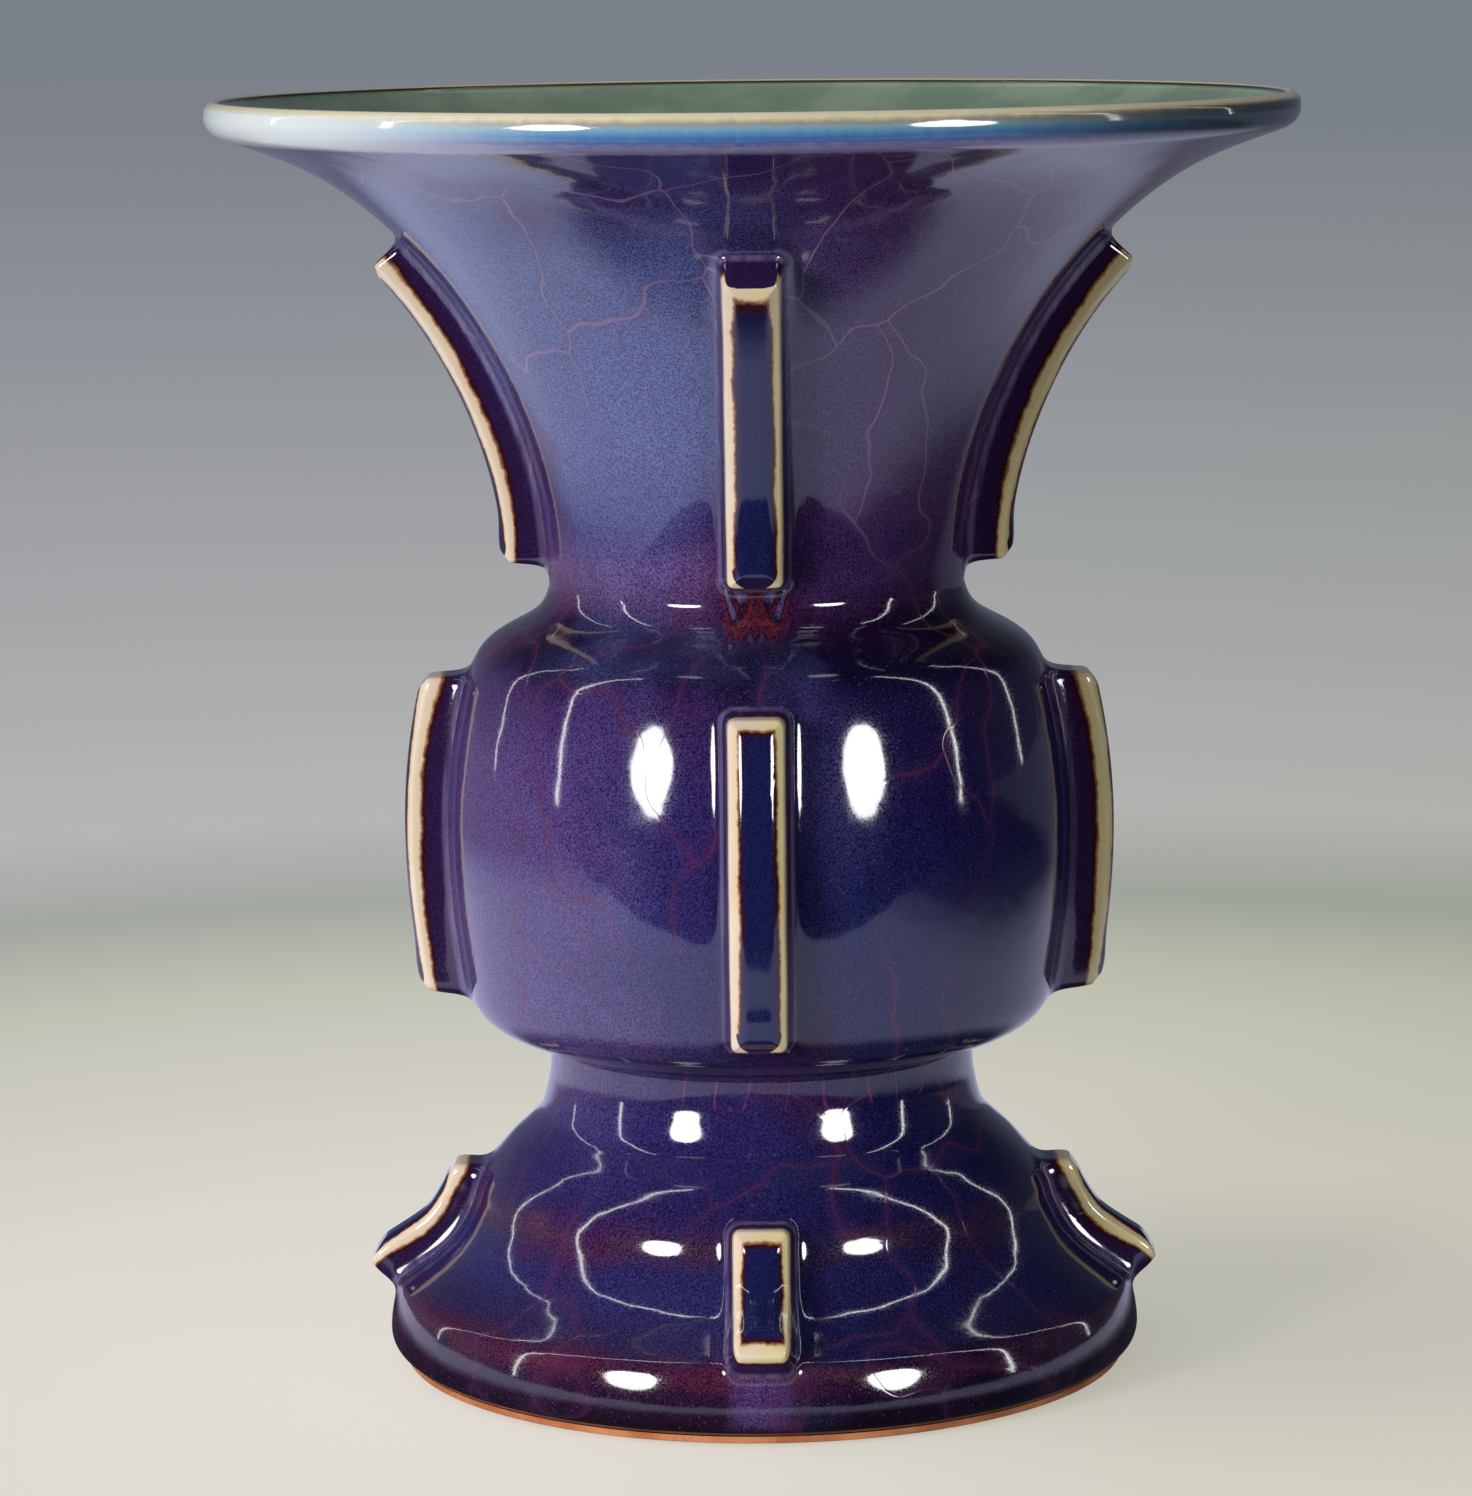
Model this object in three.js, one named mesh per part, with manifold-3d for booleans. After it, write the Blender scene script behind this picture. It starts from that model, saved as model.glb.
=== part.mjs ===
// A flanged zun: a glazed stoneware vase in three thrown sections, with four applied flanges on each.
// Millimetres, +Z up, with the origin at the middle of the foot, on the surface that the vase stands on.
import * as THREE from 'three';
import { mergeVertices } from 'three/addons/utils/BufferGeometryUtils.js';
import Module from 'manifold-3d';

const wasm = await Module();
wasm.setup();

// Foot section: a flared hollow ring with a ridge below its waist and a rounded base band
const footHeight = 78.5;
const footWall = 8;
const ringOuterRadius = 80.5;
const ringWidth = 8;
const bandRadius = 92.3;
const bandWall = 14;
const bandMiddleHeight = 9.5;
const bandTopHeight = 18;
const bandTopInset = 2.6;
const flareRadius = 74.7;
const flareHeight = 30.4;
const ridgeRadius = 69.6;
const ridgeDrop = 36;
const sweepOut = 13.4;
const sweepDrop = 26.5;
const coveOut = 4.8;
const coveDrop = 17;
const waistRadius = 50.4;

// Belly section: a drum with a turned-in lower edge, a sloping shoulder and the floor of the vase
const bellyHeight = 113.5;
const bellyWall = 7;
const bellyRadius = 75.8;
const floorThickness = 8;
const underRadius = 63;
const underRise = 4;
const heelInset = 4.9;
const heelRise = 9.5;
const lowerInset = 3.4;
const lowerRise = 17;
const upperInset = 5.4;
const upperDrop = 22;
const shoulderInset = 10;
const shoulderDrop = 13.6;
const rootOut = 6.6;
const rootDrop = 8.6;

// Neck section: a trumpet that opens to a thickened, rolled lip
const neckHeight = 117;
const neckWall = 5.4;
const throatRadius = 50.2;
const collarOut = 5.1;
const collarHeight = 37.3;
const trumpetInset = 32.8;
const trumpetDrop = 20.3;
const mouthRadius = 131;
const lipHeight = 8.6;
const lipOverhang = 6.5;

// Flanges: tapered bars with a slightly crowned face, at the front, right, back and left of each section
const flangeSides = ['front', 'right', 'back', 'left'];
const faceWidth = 12.7;
const rootWidth = 13.8;
const faceCrown = 0.6;
const cornerRound = 1.1;
const seatClearance = 0.3;
const footStandOffBelow = 11;
const footStandOffAbove = 7.2;
const footFlangeLift = 1;
const footFlangeReach = 2.2;
const footFlangeSlant = 2.4;
const bellyStandOff = 9;
const bellyFlangeLift = -3;
const bellyFlangeDrop = 1.6;
const bellyFlangeSlant = 1;
const neckStandOff = 8;
const neckFlangeLift = 5;
const neckFlangeDrop = 15.4;

// Fineness of the curved surfaces
const roundSegments = 52;
const flangeSteps = 8;
const fineSteps = 16;
const handleReach = 0.36;

// Sizes and places that follow from the driving dimensions
const neckBottom = footHeight + bellyHeight;
const totalHeight = neckBottom + neckHeight;
const ringInnerRadius = ringOuterRadius - ringWidth;
const ridgeHeight = footHeight - ridgeDrop;
const bellyMiddleHeight = footHeight + (lowerRise + bellyHeight - upperDrop) / 2;
const degrees = Math.PI / 180;

// A station is a place on a profile: its radius, its height, and the wall's lean there from the vertical.
// The profile is followed upwards on the outside and downwards inside; steps is the number that lead up to it.
function station(radius, height, lean, steps = 3) {
  return { radius, height, lean, steps };
}

function place(at) {
  return new THREE.Vector2(at.radius, at.height);
}

function heading(at) {
  return new THREE.Vector2(Math.sin(at.lean * degrees), Math.cos(at.lean * degrees));
}

// A smooth line through the stations
function trace(stations, evenSteps = 0) {
  const points = [place(stations[0])];
  for (let i = 1; i < stations.length; i += 1) {
    const start = place(stations[i - 1]);
    const end = place(stations[i]);
    const reach = start.distanceTo(end) * handleReach;
    const leaving = start.clone().addScaledVector(heading(stations[i - 1]), reach);
    const arriving = end.clone().addScaledVector(heading(stations[i]), -reach);
    const span = new THREE.CubicBezierCurve(start, leaving, arriving, end);
    points.push(...span.getPoints(evenSteps || stations[i].steps).slice(1));
  }
  return points;
}

// The same wall's inner face, followed downwards
function innerFace(stations, wall) {
  const moved = stations.map((at) => {
    const along = heading(at);
    return station(at.radius - along.y * wall, at.height + along.x * wall, at.lean + 180, at.steps);
  });
  return moved.reverse();
}

// The point of a traced wall at a height, with the direction that points straight out of the wall there
function wallAt(profile, height) {
  const found = profile.findIndex((point) => point.y >= height);
  const upper = found > 0 ? found : profile.length - 1;
  const low = profile[upper - 1];
  const high = profile[upper];
  const point = low.clone().lerp(high, (height - low.y) / (high.y - low.y));
  const along = high.clone().sub(low).normalize();
  return { point, out: new THREE.Vector2(along.y, -along.x) };
}

// A traced wall moved out by a clearance
function movedOut(profile, distance) {
  return profile.map((point, i) => {
    const before = profile[Math.max(i - 1, 0)];
    const after = profile[Math.min(i + 1, profile.length - 1)];
    const along = after.clone().sub(before).normalize();
    return new THREE.Vector2(point.x + along.y * distance, point.y - along.x * distance);
  });
}

// A turned solid, from an outline that starts and ends on the axis or is closed back to its start
function turned(outline) {
  const onAxis = outline[0].x === 0;
  const closed = onAxis ? outline : [...outline, outline[0].clone()];
  const geometry = new THREE.LatheGeometry(closed, roundSegments);
  geometry.rotateX(Math.PI / 2);
  return welded(geometry);
}

// Shared vertices merged, and the flat triangles left at the axis taken out
function welded(geometry) {
  geometry.deleteAttribute('normal');
  geometry.deleteAttribute('uv');
  const merged = mergeVertices(geometry, 1e-4);
  const corners = merged.index.array;
  const kept = [];
  for (let i = 0; i < corners.length; i += 3) {
    const [a, b, c] = corners.slice(i, i + 3);
    if (a !== b && b !== c && c !== a) {
      kept.push(a, b, c);
    }
  }
  merged.setIndex(kept);
  merged.computeVertexNormals();
  return merged;
}

function toSolid(geometry) {
  const mesh = new wasm.Mesh({
    numProp: 3,
    vertProperties: new Float32Array(geometry.attributes.position.array),
    triVerts: new Uint32Array(geometry.index.array),
  });
  return new wasm.Manifold(mesh);
}

function toGeometry(solid) {
  const mesh = solid.getMesh();
  const geometry = new THREE.BufferGeometry();
  geometry.setAttribute('position', new THREE.BufferAttribute(new Float32Array(mesh.vertProperties), 3));
  geometry.setIndex(new THREE.BufferAttribute(new Uint32Array(mesh.triVerts), 1));
  geometry.computeVertexNormals();
  return geometry;
}

// Foot section
const footStations = [
  station(ringOuterRadius, 0, 76),
  station(bandRadius, bandMiddleHeight, 0, 5),
  station(bandRadius - bandTopInset, bandTopHeight, -58, 3),
  station(flareRadius, flareHeight, -30, 4),
  station(ridgeRadius, ridgeHeight, -6, 3),
  station(waistRadius + sweepOut, footHeight - sweepDrop, -50, 4),
  station(waistRadius + coveOut, footHeight - coveDrop, -24, 3),
  station(waistRadius, footHeight, -4, 3),
];

function footSection() {
  const hollow = trace([
    station(waistRadius - footWall, footHeight, 180),
    station(waistRadius + coveOut - footWall, footHeight - coveDrop, 158, 2),
    station(ridgeRadius - footWall, ridgeHeight, 158, 3),
    station(bandRadius - bandWall, bandMiddleHeight, 176, 3),
    station(ringInnerRadius, 0, 205, 2),
  ]);
  return turned([...trace(footStations), ...hollow]);
}

// Belly section
const bellyStations = [
  station(waistRadius, footHeight, 80),
  station(underRadius, footHeight + underRise, 70, 1),
  station(bellyRadius - heelInset, footHeight + heelRise, 24, 4),
  station(bellyRadius - lowerInset, footHeight + lowerRise, 9, 1),
  station(bellyRadius, bellyMiddleHeight, 0, 3),
  station(bellyRadius - upperInset, neckBottom - upperDrop, -16, 3),
  station(bellyRadius - shoulderInset, neckBottom - shoulderDrop, -52, 3),
  station(throatRadius + rootOut, neckBottom - rootDrop, -60, 1),
  station(throatRadius, neckBottom, -3, 4),
];

function bellySection() {
  const insideFloor = footHeight + floorThickness;
  const inside = trace([
    station(throatRadius - neckWall, neckBottom, 180),
    station(throatRadius + rootOut - neckWall, neckBottom - rootDrop - bellyWall, 122, 3),
    station(bellyRadius - upperInset - bellyWall, neckBottom - upperDrop - bellyWall, 166, 3),
    station(bellyRadius - bellyWall, bellyMiddleHeight, 180, 2),
    station(bellyRadius - lowerInset - bellyWall, footHeight + lowerRise + bellyWall, 190, 2),
    station(waistRadius - footWall, insideFloor, 268, 4),
    station(0, insideFloor, 270, 1),
  ]);
  const underside = new THREE.Vector2(0, footHeight);
  return turned([underside, ...trace(bellyStations), ...inside]);
}

// Neck section
const neckStations = [
  station(throatRadius, neckBottom, 0),
  station(throatRadius + collarOut, neckBottom + collarHeight, 16, 3),
  station(mouthRadius - trumpetInset, totalHeight - trumpetDrop, 58.5, 8),
  station(mouthRadius - lipOverhang, totalHeight - lipHeight * 1.1, 70, 3),
];

function neckSection() {
  const crest = station(mouthRadius - lipHeight * 0.28, totalHeight, -96, 1);
  const lip = trace([
    neckStations.at(-1),
    station(mouthRadius - lipHeight * 0.26, totalHeight - lipHeight * 0.92, 62, 1),
    station(mouthRadius, totalHeight - lipHeight * 0.47, 0, 2),
    station(mouthRadius - lipHeight * 0.15, totalHeight - lipHeight * 0.06, -52, 2),
    crest,
  ]);
  const inside = trace([crest, ...innerFace(neckStations, neckWall)]);
  return turned([...trace(neckStations), ...lip.slice(1), ...inside.slice(1)]);
}

// A flange is a bar that runs up the wall between two heights. Its face stands off the wall, its ends are cut
// between the heights of its face and of its root, and its back is cut to the turned wall that it is luted to.
function flange(stations, face, root, standOff) {
  const fine = trace(stations, fineSteps);
  const sunk = rootWidth / 3;
  const positions = [];
  for (let i = 0; i <= flangeSteps; i += 1) {
    const share = i / flangeSteps;
    const behind = wallAt(fine, THREE.MathUtils.lerp(face.bottom, face.top, share));
    const proud = THREE.MathUtils.lerp(standOff.bottom, standOff.top, share);
    const outer = behind.point.clone().addScaledVector(behind.out, proud);
    const foot = wallAt(fine, THREE.MathUtils.lerp(root.bottom, root.top, share));
    const inner = foot.point.clone().addScaledVector(foot.out, -sunk);
    const inward = inner.clone().sub(outer).normalize();
    const corner = outer.clone().addScaledVector(inward, faceCrown + cornerRound);
    const shallow = outer.clone().addScaledVector(inward, faceCrown / 2);
    positions.push(
      inner.x, -rootWidth / 2, inner.y,
      corner.x, -faceWidth / 2, corner.y,
      shallow.x, cornerRound - faceWidth / 2, shallow.y,
      outer.x, 0, outer.y,
      shallow.x, faceWidth / 2 - cornerRound, shallow.y,
      corner.x, faceWidth / 2, corner.y,
      inner.x, rootWidth / 2, inner.y,
    );
  }
  const around = positions.length / 3 / (flangeSteps + 1);
  const index = [];
  for (let i = 0; i < flangeSteps; i += 1) {
    for (let j = 0; j < around; j += 1) {
      const a = i * around + j;
      const b = i * around + ((j + 1) % around);
      index.push(a, b, b + around, a, b + around, a + around);
    }
  }
  const last = flangeSteps * around;
  for (let j = 1; j < around - 1; j += 1) {
    index.push(0, j + 1, j, last, last + j, last + j + 1);
  }
  const bar = new THREE.BufferGeometry();
  bar.setAttribute('position', new THREE.Float32BufferAttribute(positions, 3));
  bar.setIndex(index);
  const seat = movedOut(trace(stations), seatClearance);
  const under = new THREE.Vector2(0, seat[0].y);
  const over = new THREE.Vector2(0, seat.at(-1).y);
  return toGeometry(toSolid(bar).subtract(toSolid(turned([under, ...seat, over]))));
}

const footFlange = flange(
  footStations,
  { bottom: bandTopHeight + footFlangeLift, top: ridgeHeight + footFlangeReach },
  { bottom: bandTopHeight + footFlangeLift, top: ridgeHeight + footFlangeReach + footFlangeSlant },
  { bottom: footStandOffBelow, top: footStandOffAbove },
);

const bellyFlange = flange(
  bellyStations,
  {
    bottom: footHeight + lowerRise + bellyFlangeLift + bellyFlangeSlant,
    top: neckBottom - upperDrop - bellyFlangeDrop - bellyFlangeSlant,
  },
  {
    bottom: footHeight + lowerRise + bellyFlangeLift - bellyFlangeSlant,
    top: neckBottom - upperDrop - bellyFlangeDrop + bellyFlangeSlant,
  },
  { bottom: bellyStandOff, top: bellyStandOff },
);

const neckFlangeEnds = {
  bottom: neckBottom + neckFlangeLift,
  top: totalHeight - trumpetDrop - neckFlangeDrop,
};
const neckFlange = flange(
  neckStations,
  neckFlangeEnds,
  neckFlangeEnds,
  { bottom: neckStandOff, top: neckStandOff },
);

const vase = new THREE.Group();

function glaze(color, roughness) {
  return new THREE.MeshStandardMaterial({ color, roughness, metalness: 0 });
}

function addPiece(name, geometry, finish, turn = 0) {
  const piece = new THREE.Mesh(geometry, finish);
  piece.name = name;
  piece.rotation.z = turn;
  vase.add(piece);
}

function addFlanges(name, geometry) {
  flangeSides.forEach((side, i) => {
    const turn = (i / flangeSides.length) * 2 * Math.PI - Math.PI / 2;
    addPiece(`${name}_${side}`, geometry, glaze(0xe6d2b4, 0.2), turn);
  });
}

addPiece('foot_section', footSection(), glaze(0x352f60, 0.12));
addPiece('belly_section', bellySection(), glaze(0x4a4478, 0.12));
addPiece('neck_section', neckSection(), glaze(0x5f5c8e, 0.12));
addFlanges('foot_flange', footFlange);
addFlanges('belly_flange', bellyFlange);
addFlanges('neck_flange', neckFlange);

export default vase;
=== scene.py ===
import math
from bisect import bisect_left

import bmesh
import bpy
from mathutils import Matrix, Vector, noise


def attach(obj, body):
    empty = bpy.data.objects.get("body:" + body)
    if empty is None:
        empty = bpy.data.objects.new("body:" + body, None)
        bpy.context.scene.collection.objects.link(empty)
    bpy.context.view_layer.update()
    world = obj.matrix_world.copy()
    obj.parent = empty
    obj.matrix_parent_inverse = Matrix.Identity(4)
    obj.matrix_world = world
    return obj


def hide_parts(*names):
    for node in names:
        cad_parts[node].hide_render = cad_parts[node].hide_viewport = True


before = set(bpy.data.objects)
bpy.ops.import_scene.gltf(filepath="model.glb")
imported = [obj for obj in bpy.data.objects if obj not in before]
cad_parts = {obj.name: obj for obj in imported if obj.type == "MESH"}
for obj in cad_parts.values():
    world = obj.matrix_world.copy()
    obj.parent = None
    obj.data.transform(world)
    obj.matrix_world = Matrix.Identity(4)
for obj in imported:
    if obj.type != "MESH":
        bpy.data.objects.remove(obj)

# The vase is drawn in millimetres, and MM turns its sizes into Blender's metres
MM = 0.001

# Outlines of the three thrown sections: each station is a radius, a height and the wall's lean there, in
# degrees from the vertical, followed upwards on the outside and downwards inside
FOOT_OUTSIDE = [
    (80.5, 0.0, 30), (82.0, 0.6, 75), (87.4, 1.0, 75), (88.6, 1.6, 8), (88.8, 2.8, 10), (90.4, 4.2, 48),
    (92.1, 6.6, 8), (92.3, 9.0, -5),
    (90.4, 18.2, -21), (88.4, 20.8, -54), (77.2, 29.0, -46), (71.8, 37.6, -26), (70.2, 41.6, -13.4),
    (69.1, 45.2, -25), (64.9, 51.6, -45), (61.6, 55.2, -47), (57.4, 59.0, -41), (55.2, 61.2, -30),
    (54.1, 63.0, -19), (53.2, 66.0, -13.3), (52.5, 69.2, -10), (51.9, 72.6, -2), (52.0, 78.5, 8),
]
FOOT_INSIDE = [(42.4, 78.5, 180), (47.2, 61.5, 158), (61.6, 42.5, 158), (78.3, 9.5, 176), (72.5, 0.0, 205)]
BELLY_UNDERSIDE = [(0.0, 78.5, 90), (46.0, 78.5, 90)]
BELLY_OUTSIDE = [
    (51.9, 78.1, 8), (54.0, 80.7, 70), (62.6, 82.9, 70), (70.5, 89.0, 27), (72.3, 96.5, 10),
    (75.8, 132.75, 0), (70.4, 170.0, -16), (65.8, 178.4, -52), (57.2, 183.1, -61), (51.7, 187.6, -23),
    (50.3, 192.0, -7),
]
BELLY_INSIDE = [
    (44.8, 192.0, 180), (51.4, 176.4, 122), (63.4, 163.0, 166), (68.8, 132.75, 180), (65.4, 102.5, 190),
    (42.4, 86.5, 268), (0.0, 86.5, 270),
]
NECK_OUTSIDE = [(50.3, 192.0, -7), (55.3, 229.3, 16), (98.2, 288.7, 58.5), (124.5, 299.54, 70)]
LIP = [(128.4, 300.8, 66), (131.0, 304.95, 0), (129.75, 308.38, -52), (128.3, 308.99, -94)]
NECK_INSIDE = [(124.0, 305.6, 244), (95.4, 293.3, 238.5), (50.11, 230.8, 196), (44.8, 192.0, 180)]
HANDLE_REACH = 0.36
CURVE_STEPS = 14
SMOOTHINGS = 40
TURN_STEPS = 252
# Points nearer than this many millimetres are one, and an edge sharper than this angle stays sharp
MERGE_DISTANCE = 0.002
SHARP_ANGLE = math.radians(38)
# Below this height the foot is bare clay. The green glaze covers the belly's floor and reaches over the rim
CLAY_HEIGHT = 2.95
BELLY_FLOOR_RADIUS = 43
RIM_RADIUS = 128.2

# Flanges: a bar with its glaze, a fillet where the glaze has gathered at its root
ROOT_HALF = 6.9
FILLET_REACH = 5.2
SIDES = {"front": -90, "right": 0, "back": 90, "left": 180}
# Each step goes in towards the bar's middle by its first number and rises by its second
FILLET_STEPS = [(1.2, 0.06), (1.1, 0.13), (0.9, 0.30), (0.75, 0.55), (0.55, 0.85), (0.4, 1.15), (0.2, 1.4)]
ARRIS_STEPS = [(0.14, 0.45), (0.12, 0.28), (0.22, 0.26), (0.4, 0.14)]
FACE_STEPS = [(0.5, 0.2), (0.6, 0.23), (0.7, 0.22), (0.8, 0.16), (0.9, 0.08), (0.9, 0.02)]
# The edge mark goes from 0, where the glaze is thin and pale, to this, where it is thick and dark
THICK = 2.4
# The round pool at a flange's lower end: its middle above the end, and its reach across and along
POOL_MIDDLE = 5.2
POOL_ACROSS = 5.2
POOL_ALONG = 4.9
# The dark cap at a neck flange's upper end, and the pale bar below it, which fades over its reach
CAP_ALONG = 1.45
CAP_ACROSS = 6.1
PALE_START = 1.4
PALE_REACH = 5.0


def smooth_step(low, high, value):
    share = min(max((value - low) / (high - low), 0.0), 1.0)
    return share * share * (3 - 2 * share)


def mix(low, high, share):
    return low + (high - low) * share


def srgb(red, green, blue):
    """A colour as seen on a screen, 0 to 255, in the linear values that Blender mixes."""
    def linear(level):
        share = level / 255
        return share / 12.92 if share < 0.04045 else ((share + 0.055) / 1.055) ** 2.4
    return (linear(red), linear(green), linear(blue), 1.0)


def deselect():
    for item in bpy.context.selected_objects:
        item.select_set(False)


def take(item):
    """Makes one object the selected and active one."""
    deselect()
    item.select_set(True)
    bpy.context.view_layer.objects.active = item


def draw_outline(name, runs, closed, smooth_from, smooth_to):
    """A line through runs of stations, in the X-Z plane: smooth within a run, straight from run to run."""
    stations = [station for run in runs for station in run]
    starts = {sum(len(run) for run in runs[:number]) for number in range(len(runs) + 1)}
    bpy.ops.curve.primitive_bezier_curve_add(enter_editmode=False, location=(0, 0, 0))
    line = bpy.context.object
    line.name = name
    line.data.dimensions = "3D"
    line.data.resolution_u = CURVE_STEPS
    spline = line.data.splines[0]
    spline.use_cyclic_u = closed
    spline.bezier_points.add(len(stations) - len(spline.bezier_points))
    places = [Vector((radius, 0, height)) for radius, height, lean in stations]
    for number, point in enumerate(spline.bezier_points):
        lean = math.radians(stations[number][2])
        along = Vector((math.sin(lean), 0, math.cos(lean)))
        before = 0 if number in starts else (places[number] - places[number - 1]).length
        after = 0 if number + 1 in starts else (places[number + 1] - places[number]).length
        point.handle_left_type = point.handle_right_type = "FREE"
        point.co = places[number]
        point.handle_left = places[number] - along * before * HANDLE_REACH
        point.handle_right = places[number] + along * after * HANDLE_REACH
    take(line)
    bpy.ops.object.convert(target="MESH")
    line = bpy.context.object
    bpy.ops.object.mode_set(mode="EDIT")
    bpy.ops.mesh.select_mode(type="VERT")
    form = bmesh.from_edit_mesh(line.data)
    for vertex in form.verts:
        vertex.select_set(smooth_from < vertex.co.z < smooth_to)
    form.select_flush(True)
    bmesh.update_edit_mesh(line.data)
    bpy.ops.mesh.vertices_smooth(factor=0.5, repeat=SMOOTHINGS)
    bpy.ops.object.mode_set(mode="OBJECT")
    return line


def throw_section(name, runs, smooth_from, smooth_to, closed=True):
    """Spins an outline round the axis, as on the wheel, in metres. Gives the outline as well."""
    piece = draw_outline(name, runs, closed, smooth_from, smooth_to)
    outline = [Vector((vertex.co.x, vertex.co.z)) for vertex in piece.data.vertices]
    bpy.ops.object.mode_set(mode="EDIT")
    bpy.ops.mesh.select_all(action="SELECT")
    bpy.ops.mesh.spin(steps=TURN_STEPS, angle=math.tau, center=(0, 0, 0), axis=(0, 0, 1))
    bpy.ops.mesh.select_all(action="SELECT")
    bpy.ops.mesh.remove_doubles(threshold=MERGE_DISTANCE)
    bpy.ops.mesh.normals_make_consistent(inside=False)
    bpy.ops.object.mode_set(mode="OBJECT")
    piece.scale = (MM, MM, MM)
    bpy.ops.object.transform_apply(location=True, rotation=True, scale=True)
    piece.data.name = name
    bpy.ops.object.shade_smooth_by_angle(angle=SHARP_ANGLE)
    return piece, outline


def run_of(outline, before, stations):
    """The part of a drawn outline that belongs to some stations, after this many stations of other runs."""
    start = before * CURVE_STEPS
    return outline[start:start + (len(stations) - 1) * CURVE_STEPS + 1]


class Wall:
    """The outside of a section as a line that can be read by its length from the bottom or by its height."""

    def __init__(self, points):
        self.points = points
        self.lengths = [0.0]
        for low, high in zip(self.points, self.points[1:]):
            self.lengths.append(self.lengths[-1] + (high - low).length)
        last = len(self.points) - 1
        self.headings = [
            (self.points[min(number + 1, last)] - self.points[max(number - 1, 0)]).normalized()
            for number in range(last + 1)
        ]

    def length_at(self, height):
        for number in range(1, len(self.points)):
            low, high = self.points[number - 1], self.points[number]
            if high.y >= height:
                share = (height - low.y) / (high.y - low.y)
                return mix(self.lengths[number - 1], self.lengths[number], share)
        return self.lengths[-1]

    def at(self, length):
        """The place on the wall, smooth from point to point, and the direction straight out of it."""
        number = min(max(bisect_left(self.lengths, length) - 1, 0), len(self.lengths) - 2)
        span = self.lengths[number + 1] - self.lengths[number]
        share = (length - self.lengths[number]) / span
        low, high = self.points[number], self.points[number + 1]
        place = low.lerp(high, share)
        if 0 < share < 1:
            swing_low = self.headings[number] * span - (high - low)
            swing_high = self.headings[number + 1] * span - (high - low)
            place += (swing_low * (1 - share) - swing_high * share) * share * (1 - share)
        along = self.headings[number].lerp(self.headings[number + 1], min(max(share, 0), 1)).normalized()
        return place, Vector((along.y, -along.x))


def flat_bar(name, length, rise):
    """A bar and the glaze round it, lying flat: X across, Y along, Z up from the wall, in millimetres."""
    half_width = ROOT_HALF + FILLET_REACH
    half_length = length / 2 + FILLET_REACH
    rounding = FILLET_REACH + 2
    bpy.ops.mesh.primitive_plane_add(size=2, location=(0, length / 2, 0))
    bar = bpy.context.object
    bar.name = name
    bar.scale = (half_width, half_length, 1)
    bpy.ops.object.transform_apply(location=True, rotation=True, scale=True)
    bpy.ops.object.mode_set(mode="EDIT")
    bpy.ops.mesh.select_all(action="SELECT")
    bpy.ops.mesh.bevel(offset=rounding, segments=7, affect="VERTICES")
    for side in (-1, 1):
        select_edges(bar, lambda low, high: abs(low.y - high.y) > length / 2 and low.x * side > 0)
        bpy.ops.mesh.subdivide(number_cuts=int(length / 1.1))
    for end in (-1, 1):
        select_edges(
            bar,
            lambda low, high: abs(low.x - high.x) > ROOT_HALF and (low.y - length / 2) * end > 0,
        )
        bpy.ops.mesh.subdivide(number_cuts=9)
    bpy.ops.mesh.select_all(action="SELECT")
    bpy.ops.mesh.dissolve_faces()
    bpy.ops.mesh.select_mode(type="FACE")
    bpy.ops.mesh.select_all(action="SELECT")
    side_rise = rise - sum(step[1] for step in FILLET_STEPS) - sum(step[1] for step in ARRIS_STEPS)
    side_steps = [(0.16, side_rise / 3)] * 3
    for inwards, upwards in FILLET_STEPS + side_steps + ARRIS_STEPS:
        bpy.ops.mesh.inset(thickness=inwards, depth=upwards, use_even_offset=True)
        half_width -= inwards
        half_length -= inwards
    for inwards, upwards in FACE_STEPS:
        bpy.ops.mesh.extrude_region_move(TRANSFORM_OT_translate={"value": (0, 0, upwards)})
        narrower = ((half_width - inwards) / half_width, (half_length - inwards) / half_length, 1)
        bpy.ops.transform.resize(value=narrower, center_override=(0, length / 2, rise))
        half_width -= inwards
        half_length -= inwards
    bpy.ops.mesh.quads_convert_to_tris(quad_method="BEAUTY", ngon_method="BEAUTY")
    bpy.ops.mesh.tris_convert_to_quads()
    bpy.ops.object.mode_set(mode="OBJECT")
    finer = bar.modifiers.new("finer", "SUBSURF")
    finer.levels = finer.render_levels = 1
    bpy.ops.object.modifier_apply(modifier=finer.name)
    return bar


def select_edges(item, wanted):
    """Selects, in edit mode, the edges whose two ends pass the test."""
    bpy.ops.mesh.select_mode(type="EDGE")
    form = bmesh.from_edit_mesh(item.data)
    for edge in form.edges:
        edge.select_set(wanted(edge.verts[0].co, edge.verts[1].co))
    form.select_flush(True)
    bmesh.update_edit_mesh(item.data)


def edge_gap(place, length):
    """How far a place lies outside the bar's root outline; inside it the gap is below zero."""
    across = abs(place.x) - ROOT_HALF
    along = max(-place.y, place.y - length)
    if across > 0 and along > 0:
        return math.hypot(across, along)
    return max(across, along)


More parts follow.
